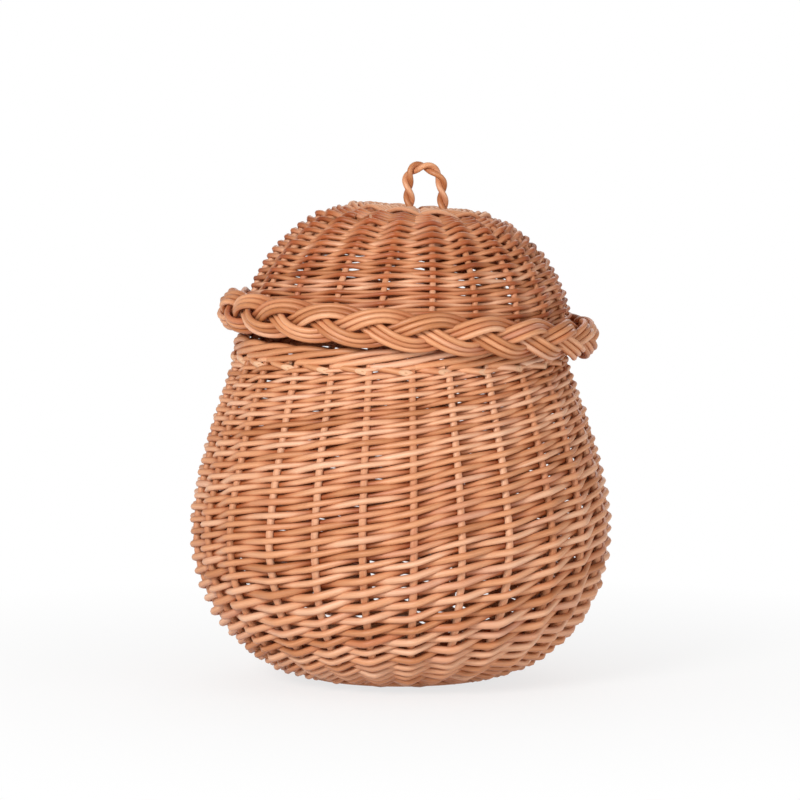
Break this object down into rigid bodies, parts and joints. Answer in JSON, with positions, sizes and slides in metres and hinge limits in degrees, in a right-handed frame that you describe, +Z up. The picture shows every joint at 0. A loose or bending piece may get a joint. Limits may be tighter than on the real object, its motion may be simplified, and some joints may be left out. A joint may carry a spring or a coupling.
{
  "type": "onion basket",
  "caption": "Round-bellied lidded basket of peeled willow, woven open on upright stakes, with a rolled border and a loose domed lid with a plaited rim and a twisted loop.",
  "frame": {"origin": "centre of the base's underside, on the floor", "axes": "+Z up, -Y towards the viewer of the picture, +X to the viewer's right"},
  "size_m": [0.3026, 0.3028, 0.3701],
  "materials": {
    "stake_willow": "peeled willow, smooth, low sheen",
    "weave_willow": "peeled willow, smooth, low sheen",
    "rim_willow": "peeled willow, smooth, low sheen",
    "base_willow": "peeled willow, dull"
  },
  "bodies": {
    "basket": {"base": "base_willow", "side_stake_01": "stake_willow", "side_stake_02": "stake_willow", "side_stake_03": "stake_willow", "side_stake_04": "stake_willow", "side_stake_05": "stake_willow", "side_stake_06": "stake_willow", "side_stake_07": "stake_willow", "side_stake_08": "stake_willow", "side_stake_09": "stake_willow", "side_stake_10": "stake_willow", "side_stake_11": "stake_willow", "side_stake_12": "stake_willow", "side_stake_13": "stake_willow", "side_stake_14": "stake_willow", "side_stake_15": "stake_willow", "side_stake_16": "stake_willow", "side_stake_17": "stake_willow", "side_stake_18": "stake_willow", "side_stake_19": "stake_willow", "side_stake_20": "stake_willow", "side_stake_21": "stake_willow", "side_stake_22": "stake_willow", "side_stake_23": "stake_willow", "side_stake_24": "stake_willow", "side_stake_25": "stake_willow", "upsett": "weave_willow", "lower_siding": "weave_willow", "middle_siding": "weave_willow", "upper_siding": "weave_willow", "shoulder_siding": "weave_willow", "rim_border": "rim_willow"},
    "lid": {"lid_top": "base_willow", "lid_stake_01": "stake_willow", "lid_stake_02": "stake_willow", "lid_stake_03": "stake_willow", "lid_stake_04": "stake_willow", "lid_stake_05": "stake_willow", "lid_stake_06": "stake_willow", "lid_stake_07": "stake_willow", "lid_stake_08": "stake_willow", "lid_stake_09": "stake_willow", "lid_stake_10": "stake_willow", "lid_stake_11": "stake_willow", "lid_stake_12": "stake_willow", "lid_stake_13": "stake_willow", "lid_stake_14": "stake_willow", "lid_stake_15": "stake_willow", "lid_stake_16": "stake_willow", "lid_stake_17": "stake_willow", "lid_stake_18": "stake_willow", "lid_stake_19": "stake_willow", "lid_stake_20": "stake_willow", "lid_stake_21": "stake_willow", "lid_crown_weave": "weave_willow", "lid_side_weave": "weave_willow", "lid_plait_strand_1": "rim_willow", "lid_plait_strand_2": "rim_willow", "lid_plait_strand_3": "rim_willow", "loop_handle": "rim_willow"}
  },
  "joints": [
    {"name": "lid_lift", "type": "slide", "parent": "basket", "child": "lid", "axis": [0, 0, 1], "range_m": [0, 0.15]}
  ]
}
